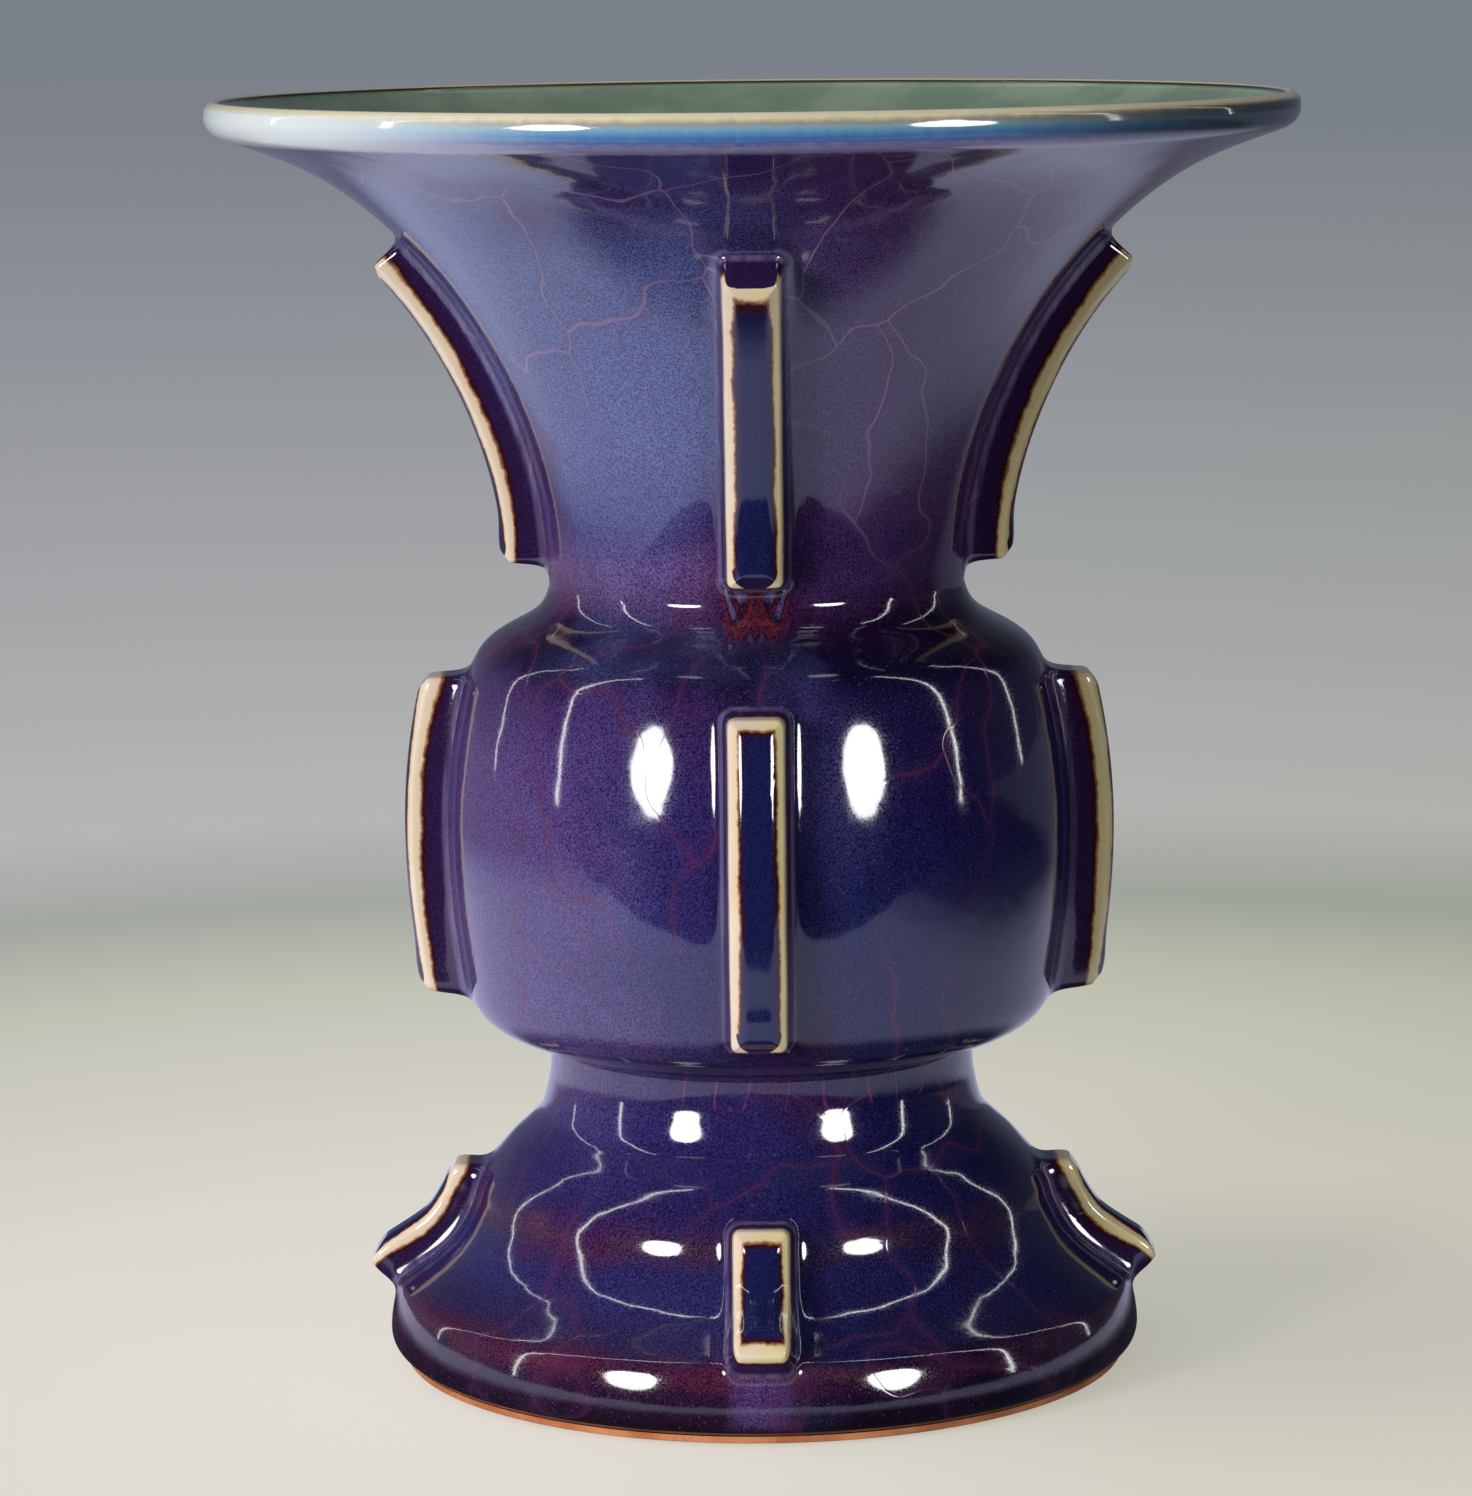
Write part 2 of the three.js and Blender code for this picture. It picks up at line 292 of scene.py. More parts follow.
class Tier:
    """The flanges of one section: where they sit on the wall, and how the glaze lies on them."""

    def __init__(self, name, wall, root, face, stand, cream, pool, drip, cap):
        self.name = name
        self.wall = wall
        self.root = [wall.length_at(height) for height in root]
        self.face = [wall.length_at(height) for height in face]
        self.stand = stand
        self.cream = cream
        self.pool = pool
        self.drip = drip
        self.cap = cap
        self.length = self.root[1] - self.root[0]
        self.rise = sum(stand) / 2

    def cream_width(self, share):
        """The width of the thin, pale glaze along the edges, from the bottom end to the top one."""
        low, middle, high = self.cream
        if share < 0.5:
            return mix(low, middle, smooth_step(0.0, 0.35, share))
        return mix(middle, high, smooth_step(0.8, 1.0, share))

    def glaze_on(self, place):
        """Marks for a place on the flat bar: pale edge, pool on the face, and glaze of the bar's own."""
        gap = edge_gap(place, self.length)
        share = place.y / self.length
        inside = max(-gap - 0.5, 0.0)
        below = max(self.rise - 0.3 - place.z, 0.0) if gap > -1.2 else 0.0
        down_side = below * 0.75
        from_side = math.hypot(max(ROOT_HALF - 0.5 - abs(place.x), 0.0), down_side)
        from_low_end = math.hypot(max(place.y - 0.5, 0.0), down_side)
        from_high_end = math.hypot(max(self.length - place.y - 0.5, 0.0), down_side)
        width = self.cream_width(share) + (0.3 if place.x < 0 else -0.2) * min(inside, 1)
        edge = from_side / width
        if self.drip:
            edge = self.dripping_end(place, edge, down_side)
        else:
            edge = min(edge, from_low_end / self.cream[0])
        if self.cap:
            edge = self.capped_end(place, edge, down_side)
        else:
            edge = min(edge, from_high_end / self.cream[2])
        pool = smooth_step(1.2, 3.2, inside) if gap < -0.5 else 0.0
        own = smooth_step(0.4, 3.2, place.z)
        return edge, pool, own

    def dripping_end(self, place, edge, down_side):
        """The lower end, where the pool has run to the edge and the cream hooks in under it."""
        round_pool = math.hypot(place.x / POOL_ACROSS, (place.y - POOL_MIDDLE) / POOL_ALONG)
        if place.y < POOL_MIDDLE:
            edge = mix(THICK, edge, smooth_step(0.9, 1.04, round_pool))
            if abs(place.x) > 2.2 and place.y > -0.4:
                edge = min(edge, mix(THICK, 0.3, smooth_step(0.98, 1.08, round_pool)) + down_side)
        return edge

    def capped_end(self, place, edge, down_side):
        """The upper end, with a dark cap of thick glaze and then a cream bar that fades to tan."""
        gap = self.length - place.y
        if down_side < 0.9:
            faded = math.hypot(max(gap - PALE_START, 0.0), down_side) / PALE_REACH
            edge = min(edge, 1.1 * faded ** 0.55)
        round_cap = (max(gap, 0.0) / CAP_ALONG) ** 2 + abs(place.x / CAP_ACROSS) ** 3
        return max(edge, mix(THICK, 0.0, smooth_step(0.86, 1.06, round_cap)))

    def shaped(self, place):
        """The flat bar's place with its glaze pool and drip."""
        gap = edge_gap(place, self.length)
        on_face = smooth_step(0.6, 4.0, -gap)
        swell = self.pool * on_face
        if self.drip:
            swell += self.drip * on_face * math.exp(-(((place.y - 6) / 5) ** 2))
        return Vector((place.x, place.y, place.z + swell))

    def wrapped(self, place, turn):
        """The place on the vase, in metres, of a place on the flat bar."""
        shaped = self.shaped(place)
        share = shaped.y / self.length
        lift = min(max(shaped.z / self.rise, 0.0), 1.0)
        at_root = self.root[0] + shaped.y
        at_face = mix(self.face[0], self.face[1], share)
        inside = min(max(share, 0.0), 1.0)
        if share < 0 or share > 1:
            at_face = mix(self.face[0], self.face[1], inside) + (share - inside) * self.length
        wall_place, out = self.wall.at(mix(at_root, at_face, lift))
        height_out = shaped.z * mix(self.stand[0], self.stand[1], inside) / self.rise
        if shaped.z < 1.5:
            height_out = mix(shaped.z, height_out, max(shaped.z, 0) / 1.5)
        spot = wall_place + out * height_out
        wobble = noise.noise(Vector((place.x * 0.12 + turn, place.y * 0.07, place.z * 0.1))) * 0.16
        across = shaped.x + wobble * lift
        hug = 1 - smooth_step(0.4, 3.0, shaped.z)
        round_radius = math.sqrt(max(spot.x ** 2 - across ** 2, 1.0))
        radius = mix(spot.x, round_radius, hug)
        cosine, sine = math.cos(turn), math.sin(turn)
        return Vector((
            (radius * cosine - across * sine) * MM,
            (radius * sine + across * cosine) * MM,
            spot.y * MM,
        ))


def add_flanges(tier, finish):
    """Models a tier's flange once, flat, and sets a copy of it on each side of the vase."""
    pattern = flat_bar(tier.name, tier.length, tier.rise)
    marks = {"edge": [], "pool": [], "own": []}
    flat_places = [vertex.co.copy() for vertex in pattern.data.vertices]
    for place in flat_places:
        for key, value in zip(marks, tier.glaze_on(place)):
            marks[key].append(value)
    for key, values in marks.items():
        layer = pattern.data.attributes.new(key, "FLOAT", "POINT")
        layer.data.foreach_set("value", values)
    pattern.data.materials.append(finish)
    for side, degrees in SIDES.items():
        node = f"{tier.name}_{side}"
        piece = pattern.copy()
        piece.data = pattern.data.copy()
        piece.name = f"{node}_glazed"
        bpy.context.scene.collection.objects.link(piece)
        turn = math.radians(degrees)
        for vertex, place in zip(piece.data.vertices, flat_places):
            vertex.co = tier.wrapped(place, turn)
        take(piece)
        bpy.ops.object.shade_smooth()
        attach(piece, "root")
        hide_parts(node)
    bpy.data.objects.remove(pattern)


# Node helpers: a value may be a number, a colour or another node's output
def feed(tree, socket, value):
    if isinstance(value, bpy.types.NodeSocket):
        tree.links.new(value, socket)
    else:
        socket.default_value = value


def calc(tree, operation, *values):
    node = tree.nodes.new("ShaderNodeMath")
    node.operation = operation
    for socket, value in zip(node.inputs, values):
        feed(tree, socket, value)
    return node.outputs[0]


def between(tree, value, low, high, out_low=0.0, out_high=1.0):
    """Goes smoothly from out_low to out_high as the value goes from low to high."""
    node = tree.nodes.new("ShaderNodeMapRange")
    node.interpolation_type = "SMOOTHSTEP"
    for name, number in (("From Min", low), ("From Max", high), ("To Min", out_low), ("To Max", out_high)):
        feed(tree, node.inputs[name], number)
    feed(tree, node.inputs["Value"], value)
    return node.outputs["Result"]


def band(tree, value, start, full, fading, end):
    """Is 1 from full to fading, and 0 up to start and from end on."""
    rising = between(tree, value, start, full)
    return calc(tree, "MULTIPLY", rising, between(tree, value, fading, end, 1.0, 0.0))


def tint(tree, share, low, high, kind="MIX"):
    node = tree.nodes.new("ShaderNodeMix")
    node.data_type = "RGBA"
    node.blend_type = kind
    feed(tree, node.inputs[0], share)
    feed(tree, node.inputs[6], low)
    feed(tree, node.inputs[7], high)
    return node.outputs[2]


def grain(tree, vector, scale, detail=2.0, rough=0.5, stretch=None, distort=0.0):
    """A soft random pattern from 0 to 1, with this many features to the metre."""
    if stretch:
        vector = stretched(tree, vector, stretch)
    node = tree.nodes.new("ShaderNodeTexNoise")
    feed(tree, node.inputs["Vector"], vector)
    node.inputs["Scale"].default_value = scale
    node.inputs["Detail"].default_value = detail
    node.inputs["Roughness"].default_value = rough
    node.inputs["Distortion"].default_value = distort
    return node.outputs["Fac"]


def stretched(tree, vector, stretch):
    node = tree.nodes.new("ShaderNodeMapping")
    node.inputs["Scale"].default_value = stretch
    feed(tree, node.inputs["Vector"], vector)
    return node.outputs["Vector"]


def color_steps(tree, value, steps):
    """A colour for each value, smooth between the steps."""
    node = tree.nodes.new("ShaderNodeValToRGB")
    feed(tree, node.inputs["Fac"], value)
    stops = node.color_ramp.elements
    while len(stops) < len(steps):
        stops.new(1.0)
    for stop, (position, color) in zip(stops, steps):
        stop.position = position
        stop.color = color
    return node.outputs["Color"]


def new_group(name, inputs, outputs):
    """A node group with named inputs and outputs, each a name and a socket kind."""
    tree = bpy.data.node_groups.new(name, "ShaderNodeTree")
    for title, kind in inputs:
        tree.interface.new_socket(title, in_out="INPUT", socket_type="NodeSocket" + kind)
    for title, kind in outputs:
        tree.interface.new_socket(title, in_out="OUTPUT", socket_type="NodeSocket" + kind)
    return tree, tree.nodes.new("NodeGroupInput").outputs, tree.nodes.new("NodeGroupOutput").inputs


def use_group(tree, group, **values):
    node = tree.nodes.new("ShaderNodeGroup")
    node.node_tree = group
    for title, value in values.items():
        feed(tree, node.inputs[title.replace("_", " ")], value)
    return node.outputs


# The glaze's colour at heights in millimetres: near black at the clay, red-brown where it is thin on the
# brim of the foot's band and on the ridge, blue-black in the hollows, plum and violet on the belly, and pale
# blue-violet on the neck. The dark step under the belly's rounded bottom, at 82, is partly painted shade, and
# the dark band in the crease below the neck, 178 to 186, is partly painted shade and painted reflection
BODY_COLORS = [
    (3, (24, 10, 22)), (7, (36, 16, 38)), (13, (44, 20, 50)), (16, (75, 28, 55)), (19, (70, 30, 60)),
    (22, (48, 36, 80)), (30, (46, 44, 98)), (37, (44, 38, 92)), (42, (70, 40, 68)), (47, (48, 32, 84)),
    (54, (40, 34, 92)), (68, (46, 36, 96)), (78, (52, 36, 86)), (82, (34, 18, 52)), (90, (56, 48, 100)),
    (120, (50, 42, 102)), (150, (52, 38, 96)), (171, (60, 34, 88)), (178, (28, 20, 56)), (186, (32, 18, 52)),
    (191, (84, 40, 84)), (199, (106, 68, 120)), (208, (66, 44, 104)), (218, (62, 50, 108)),
    (229, (82, 86, 142)), (272, (84, 92, 148)), (288, (62, 54, 110)), (300, (48, 40, 94)),
]
TOP_HEIGHT = 309.0


def make_track_group():
    """Branching lines where the glaze healed over the cracks of its first drying, mostly upright."""
    tree, given, out = new_group(
        "healed_tracks",
        [("Vector", "Vector")],
        [("Line", "Float"), ("Halo", "Float")],
    )
    wander = tree.nodes.new("ShaderNodeTexNoise")
    feed(tree, wander.inputs["Vector"], given["Vector"])
    wander.inputs["Scale"].default_value = 42
    wander.inputs["Detail"].default_value = 1.4
    bend = tree.nodes.new("ShaderNodeVectorMath")
    bend.operation = "MULTIPLY_ADD"
    feed(tree, bend.inputs[0], wander.outputs["Color"])
    bend.inputs[1].default_value = (0.026, 0.026, 0.03)
    feed(tree, bend.inputs[2], given["Vector"])
    cells = tree.nodes.new("ShaderNodeTexVoronoi")
    cells.feature = "DISTANCE_TO_EDGE"
    cells.inputs["Scale"].default_value = 27
    feed(tree, cells.inputs["Vector"], stretched(tree, bend.outputs[0], (1, 1, 0.42)))
    distance = cells.outputs["Distance"]
    shown = between(tree, grain(tree, given["Vector"], 13, detail=1.0), 0.38, 0.47)
    line = between(tree, distance, 0.003, 0.0095, 1.0, 0.0)
    halo = between(tree, distance, 0.004, 0.06, 1.0, 0.0)
    feed(tree, out["Line"], calc(tree, "MULTIPLY", line, shown))
    feed(tree, out["Halo"], calc(tree, "MULTIPLY", halo, shown))
    return tree


def make_speckle_group():
    """The fine pale grain that floats in the glaze."""
    tree, given, out = new_group(
        "fine_speckle",
        [("Vector", "Vector")],
        [("Grain", "Float"), ("Dots", "Float")],
    )
    fine = grain(tree, given["Vector"], 2250, detail=3.0, rough=0.75)
    feed(tree, out["Grain"], between(tree, fine, 0.36, 0.66))
    dots = tree.nodes.new("ShaderNodeTexVoronoi")
    dots.inputs["Scale"].default_value = 760
    feed(tree, dots.inputs["Vector"], given["Vector"])
    feed(tree, out["Dots"], between(tree, dots.outputs["Distance"], 0.05, 0.2, 1.0, 0.0))
    return tree


def make_body_group(tracks, speckle):
    """The main glaze, from its height on the vase and from patterns in the clay and the fire, with painted
    shade in some bands, beside the flanges and on the right half, and painted light on the left.
    """
    tree, given, out = new_group(
        "body_glaze",
        [("Vector", "Vector")],
        [("Color", "Color"), ("Roughness", "Float"), ("Relief", "Float")],
    )
    vector = given["Vector"]
    split = tree.nodes.new("ShaderNodeSeparateXYZ")
    feed(tree, split.inputs[0], vector)
    height = calc(tree, "MULTIPLY", split.outputs["Z"], 1 / MM)
    drift = calc(tree, "SUBTRACT", grain(tree, vector, 34, detail=4.0, rough=0.6), 0.5)
    moved = calc(tree, "MULTIPLY_ADD", drift, 15.0, height)
    share = calc(tree, "DIVIDE", moved, TOP_HEIGHT)
    color = color_steps(tree, share, [(h / TOP_HEIGHT, srgb(*c)) for h, c in BODY_COLORS])

    veil = grain(tree, vector, 20, detail=3.0, rough=0.55, stretch=(1, 1, 0.45))
    higher = between(tree, height, 70, 250, 0.06, 0.5)
    veil_share = calc(tree, "MULTIPLY", between(tree, veil, 0.46, 0.64), higher)
    color = tint(tree, veil_share, color, srgb(88, 98, 158))
    plum = grain(tree, vector, 26, detail=4.0, rough=0.6, stretch=(1, 1, 0.7))
    color = tint(tree, between(tree, plum, 0.52, 0.68, 0.0, 0.5), color, srgb(76, 26, 70))

    sideways = calc(tree, "ABSOLUTE", split.outputs["X"])
    forwards = calc(tree, "ABSOLUTE", split.outputs["Y"])
    across = calc(tree, "MULTIPLY", calc(tree, "MINIMUM", sideways, forwards), 1 / MM)
    mirrored = tree.nodes.new("ShaderNodeCombineXYZ")
    feed(tree, mirrored.inputs["X"], calc(tree, "MULTIPLY", across, MM))
    feed(tree, mirrored.inputs["Z"], split.outputs["Z"])
    swirl = grain(tree, mirrored.outputs[0], 120, detail=2.0, stretch=(1, 1, 0.4), distort=2.6)
    ragged = calc(tree, "MULTIPLY_ADD", calc(tree, "SUBTRACT", swirl, 0.5), 5.0, across)
    under_neck = band(tree, height, 182, 186, 196, 199)
    under_neck = calc(tree, "MULTIPLY", under_neck, between(tree, ragged, 6.0, 9.5, 1.0, 0.0))
    streak = color_steps(tree, swirl, [
        (0.3, srgb(104, 88, 132)), (0.4, srgb(44, 16, 40)), (0.5, srgb(106, 38, 52)),
        (0.58, srgb(82, 28, 52)), (0.7, srgb(50, 20, 50)),
    ])
    color = tint(tree, under_neck, color, streak)
    under_foot = calc(tree, "MULTIPLY", between(tree, moved, 4, 8), between(tree, height, 18, 22, 1.0, 0.0))
    under_foot = calc(tree, "MULTIPLY", under_foot, between(tree, ragged, 2.0, 10.5, 0.75, 0.0))
    color = tint(tree, under_foot, color, srgb(98, 68, 126))

    uneven = calc(tree, "MULTIPLY_ADD", drift, 0.05, split.outputs["X"])
    on_neck = between(tree, height, 196, 215)
    # Darker and more plum on the right half: partly the glaze's own colour, partly painted shade
    to_right = between(tree, uneven, -0.012, 0.03)
    right_plum_and_shade = tint(tree, 1.0, color, (0.3, 0.42, 0.62, 1), kind="MULTIPLY")
    right_plum_and_shade = tint(tree, on_neck, right_plum_and_shade, srgb(74, 46, 96))
    color = tint(tree, calc(tree, "MULTIPLY", to_right, 0.86), color, right_plum_and_shade)
    # Lighter and more violet on the left, from the foot's ridge to the shoulder: partly the glaze's own
    # colour, partly painted light
    left_milky_and_lit = between(tree, uneven, -0.045, -0.02, 1.0, 0.0)
    left_milky_and_lit = calc(tree, "MULTIPLY", left_milky_and_lit, between(tree, height, 40, 90))
    left_milky_and_lit = calc(tree, "MULTIPLY", left_milky_and_lit, between(tree, height, 150, 175, 0.5, 0.0))
    color = tint(tree, left_milky_and_lit, color, srgb(104, 80, 142))
    # Darker beside each flange: partly glaze gathered there, partly painted shade and painted reflection of
    # the flange's dark sides
    beside = calc(tree, "MULTIPLY", between(tree, ragged, 7.0, 13.5, 1.0, 0.0), between(tree, height, 84, 92))
    beside = calc(tree, "MULTIPLY", beside, calc(tree, "SUBTRACT", 1.0, under_neck))
    beside = calc(tree, "MULTIPLY", beside, between(tree, height, 279, 288, 0.8, 0.0))
    color = tint(tree, beside, color, tint(tree, 1.0, color, (0.42, 0.3, 0.42, 1), kind="MULTIPLY"))
    worn = grain(tree, vector, 40, detail=3.0, rough=0.6)
    ridge = band(tree, height, 39.5, 42.5, 44.5, 47.5)
    brim = band(tree, height, 15, 17.5, 18.5, 20.5)
    thin = calc(tree, "MULTIPLY", calc(tree, "ADD", ridge, brim), between(tree, worn, 0.5, 0.64, 0.0, 0.3))
    color = tint(tree, thin, color, srgb(112, 62, 64))

    grains = use_group(tree, speckle, Vector=vector)
    darker = tint(tree, 1.0, color, (0.32, 0.28, 0.4, 1), kind="MULTIPLY")
    lighter = tint(tree, 1.0, color, (1.85, 1.9, 1.75, 1), kind="MULTIPLY")
    color = tint(tree, grains["Grain"], darker, lighter)
    track = use_group(tree, tracks, Vector=vector)
    color = tint(tree, calc(tree, "MULTIPLY", track["Halo"], 0.14), color, srgb(100, 56, 100))
    line_color = tint(tree, between(tree, height, 195, 225), srgb(100, 42, 78), srgb(142, 114, 152))
    drawn = calc(tree, "MULTIPLY", track["Line"], between(tree, height, 180, 215, 0.62, 0.7))
    drawn = calc(tree, "MULTIPLY", drawn, between(tree, height, 30, 70, 0.4, 1.0))
    color = tint(tree, drawn, color, line_color)
    upright = calc(tree, "SUBTRACT", grain(tree, vector, 105, detail=1.0, stretch=(1, 1, 0.4)), 0.5)
    upright = between(tree, calc(tree, "ABSOLUTE", upright), 0.004, 0.014, 0.55, 0.0)
    on_ring = band(tree, height, 71.0, 73.0, 78.0, 80.0)
    color = tint(tree, calc(tree, "MULTIPLY", upright, on_ring), color, srgb(142, 70, 108))
    color = tint(tree, calc(tree, "MULTIPLY", grains["Dots"], 0.3), color, srgb(128, 126, 180))

    feed(tree, out["Color"], color)
    feed(tree, out["Roughness"], between(tree, grains["Grain"], 0.0, 1.0, 0.045, 0.11))
    waves = grain(tree, vector, 55, detail=2.0)
    relief = calc(tree, "MULTIPLY_ADD", track["Line"], -0.04, waves)
    feed(tree, out["Relief"], relief)
    return tree


def new_material(name):
    material = bpy.data.materials.new(name)
    material.use_nodes = True
    tree = material.node_tree
    for node in list(tree.nodes):
        tree.nodes.remove(node)
    shader = tree.nodes.new("ShaderNodeBsdfPrincipled")
    output = tree.nodes.new("ShaderNodeOutputMaterial")
    tree.links.new(shader.outputs["BSDF"], output.inputs["Surface"])
    place = tree.nodes.new("ShaderNodeTexCoord").outputs["Object"]
    return material, tree, shader, place


GLAZE_IOR = 1.7
# How deep the swells in the glaze are, in metres
GLAZE_SWELL = 0.00022


def set_glassy(shader):
    shader.inputs["IOR"].default_value = GLAZE_IOR
    shader.inputs["Metallic"].default_value = 0.0


def set_relief(tree, shader, height, depth):
    """Real hollows and swells this deep, in metres, felt only by the light."""
    bump = tree.nodes.new("ShaderNodeBump")
    bump.inputs["Strength"].default_value = 1.0
    bump.inputs["Distance"].default_value = depth
    feed(tree, bump.inputs["Height"], height)
    tree.links.new(bump.outputs["Normal"], shader.inputs["Normal"])


def body_material(body_glaze):
    material, tree, shader, place = new_material("purple_glaze")
    glaze = use_group(tree, body_glaze, Vector=place)
    split = tree.nodes.new("ShaderNodeSeparateXYZ")
    feed(tree, split.inputs[0], place)
    height = calc(tree, "MULTIPLY", split.outputs["Z"], 1 / MM)

    streaks = grain(tree, place, 330, detail=3.0, rough=0.6, stretch=(1, 1, 0.12))
    wavy = calc(tree, "MULTIPLY_ADD", calc(tree, "SUBTRACT", streaks, 0.5), 1.6, height)
    # The lip by height; the pale lilac at its lower rounding is a painted reflection of the floor's light
    lip = color_steps(tree, calc(tree, "SUBTRACT", calc(tree, "MULTIPLY", wavy, 0.1), 29.95), [
        (0.02, srgb(158, 140, 180)), (0.18, srgb(150, 146, 196)), (0.3, srgb(56, 86, 160)),
        (0.46, srgb(88, 148, 204)), (0.62, srgb(140, 184, 208)), (0.72, srgb(176, 166, 148)),
        (0.84, srgb(246, 232, 192)), (0.95, srgb(250, 240, 204)),
    ])
    # Near white on the lip's left, under the crest, is a painted highlight, and the dark grey on its right is
    # painted shade
    under_rim = between(tree, height, 307.2, 308.4, 1.0, 0.0)
    left = between(tree, split.outputs["X"], -0.118, -0.03, 1.0, 0.0)
    lip = tint(tree, calc(tree, "MULTIPLY", left, under_rim), lip, srgb(240, 246, 244))
    right = between(tree, split.outputs["X"], 0.04, 0.115, 0.0, 0.9)
    lip = tint(tree, calc(tree, "MULTIPLY", right, under_rim), lip, srgb(62, 74, 84))
    on_lip = between(tree, calc(tree, "MULTIPLY_ADD", streaks, 0.8, height), 299.9, 300.6)
    color = tint(tree, on_lip, glaze["Color"], lip)

    feed(tree, shader.inputs["Base Color"], color)
    feed(tree, shader.inputs["Roughness"], glaze["Roughness"])
    set_glassy(shader)
    set_relief(tree, shader, glaze["Relief"], GLAZE_SWELL)
    return material


def flange_material(body_glaze, speckle):
    """Glaze that has run off the edges, which are cream, and pooled dark on the faces."""
    material, tree, shader, place = new_material("cream_edged_glaze")
    glaze = use_group(tree, body_glaze, Vector=place)
    marks = {}
    for key in ("edge", "pool", "own"):
        mark = tree.nodes.new("ShaderNodeAttribute")
        mark.attribute_name = key
        marks[key] = mark.outputs["Fac"]
    sides = tree.nodes.new("ShaderNodeSeparateXYZ")
    feed(tree, sides.inputs[0], place)
    ragged = calc(tree, "SUBTRACT", grain(tree, place, 520, detail=3.0, rough=0.7), 0.5)
    slow = calc(tree, "SUBTRACT", grain(tree, place, 90, detail=2.0), 0.5)
    edge = calc(tree, "ADD", marks["edge"], calc(tree, "MULTIPLY", ragged, 0.5))
    edge = calc(tree, "ADD", edge, calc(tree, "MULTIPLY", slow, 0.7))
    dark = tint(tree, marks["pool"], srgb(48, 15, 46), srgb(20, 20, 62))
    grains = use_group(tree, speckle, Vector=place)
    dark = tint(tree, calc(tree, "MULTIPLY", grains["Grain"], 0.34), dark, srgb(52, 62, 136))
    streaks = grain(tree, place, 420, detail=3.0, stretch=(1, 1, 0.08))
    hollow = tint(tree, between(tree, streaks, 0.4, 0.62), srgb(84, 70, 116), srgb(128, 112, 154))
    in_hollow = between(tree, marks["own"], 0.0, 0.1)
    in_hollow = calc(tree, "MULTIPLY", in_hollow, between(tree, marks["own"], 0.3, 0.75, 0.6, 0.0))
    thick = tint(tree, between(tree, marks["own"], 0.1, 0.9), glaze["Color"], dark)
    thick = tint(tree, in_hollow, thick, hollow)
    to_right = between(tree, sides.outputs["X"], -0.004, 0.004)
    cream = tint(tree, to_right, srgb(254, 234, 208), srgb(248, 234, 182))
    color = color_steps(tree, calc(tree, "MULTIPLY", edge, 0.5), [
        (0.0, srgb(255, 255, 255)), (0.36, srgb(250, 240, 226)), (0.45, srgb(164, 118, 88)),
        (0.54, srgb(58, 18, 30)),
    ])
    color = tint(tree, 1.0, color, cream, kind="MULTIPLY")
    color = tint(tree, between(tree, edge, 1.0, 1.6), color, thick)
    feed(tree, shader.inputs["Base Color"], color)
    feed(tree, shader.inputs["Roughness"], glaze["Roughness"])
    set_glassy(shader)
    set_relief(tree, shader, glaze["Relief"], GLAZE_SWELL)
    return material


def inside_material():
    """The grey-green glaze inside, with a faint net of fine cracks."""
    material, tree, shader, place = new_material("green_glaze")
    clouds = grain(tree, place, 30, detail=4.0, rough=0.6)
    color = tint(tree, between(tree, clouds, 0.4, 0.62), srgb(138, 160, 136), srgb(158, 178, 154))
    split = tree.nodes.new("ShaderNodeSeparateXYZ")
    feed(tree, split.inputs[0], place)
    height = calc(tree, "MULTIPLY", split.outputs["Z"], 1 / MM)
    cracks = tree.nodes.new("ShaderNodeTexVoronoi")
    cracks.feature = "DISTANCE_TO_EDGE"
    cracks.inputs["Scale"].default_value = 150
    feed(tree, cracks.inputs["Vector"], place)
    crack = between(tree, cracks.outputs["Distance"], 0.006, 0.03, 0.1, 0.0)
    color = tint(tree, crack, color, srgb(74, 92, 76))
    color = tint(tree, between(tree, height, 307.6, 308.4), color, srgb(52, 46, 34))
    color = tint(tree, between(tree, height, 308.5, 308.8), color, srgb(246, 232, 190))
    feed(tree, shader.inputs["Base Color"], color)
    shader.inputs["Roughness"].default_value = 0.14
    set_glassy(shader)
    set_relief(tree, shader, grain(tree, place, 70, detail=2.0), 0.0002)
    return material


def clay_material():
    """Bare fired clay: the strip and the ring that the vase stands on."""
    material, tree, shader, place = new_material("bare_clay")
    clouds = grain(tree, place, 60, detail=5.0, rough=0.65)
    color = tint(tree, between(tree, clouds, 0.35, 0.65), srgb(196, 116, 68), srgb(230, 152, 100))
    specks = grain(tree, place, 1400, detail=2.0, rough=0.7)
    color = tint(tree, between(tree, specks, 0.6, 0.75, 0.0, 0.6), color, srgb(84, 50, 34))
    feed(tree, shader.inputs["Base Color"], color)
    shader.inputs["Roughness"].default_value = 0.75
    set_relief(tree, shader, specks, 0.00012)
    return material


def wash_material():
    """The thin brown wash inside the hollow foot."""
    material, tree, shader, place = new_material("brown_wash")
    clouds = grain(tree, place, 36, detail=5.0, rough=0.65)
    color = tint(tree, between(tree, clouds, 0.36, 0.64), srgb(62, 40, 30), srgb(112, 76, 52))
    specks = grain(tree, place, 900, detail=2.0, rough=0.7)
    color = tint(tree, between(tree, specks, 0.58, 0.74, 0.0, 0.5), color, srgb(40, 26, 22))
    feed(tree, shader.inputs["Base Color"], color)
    feed(tree, shader.inputs["Roughness"], between(tree, clouds, 0.3, 0.7, 0.3, 0.55))
    set_relief(tree, shader, specks, 0.0001)
    return material


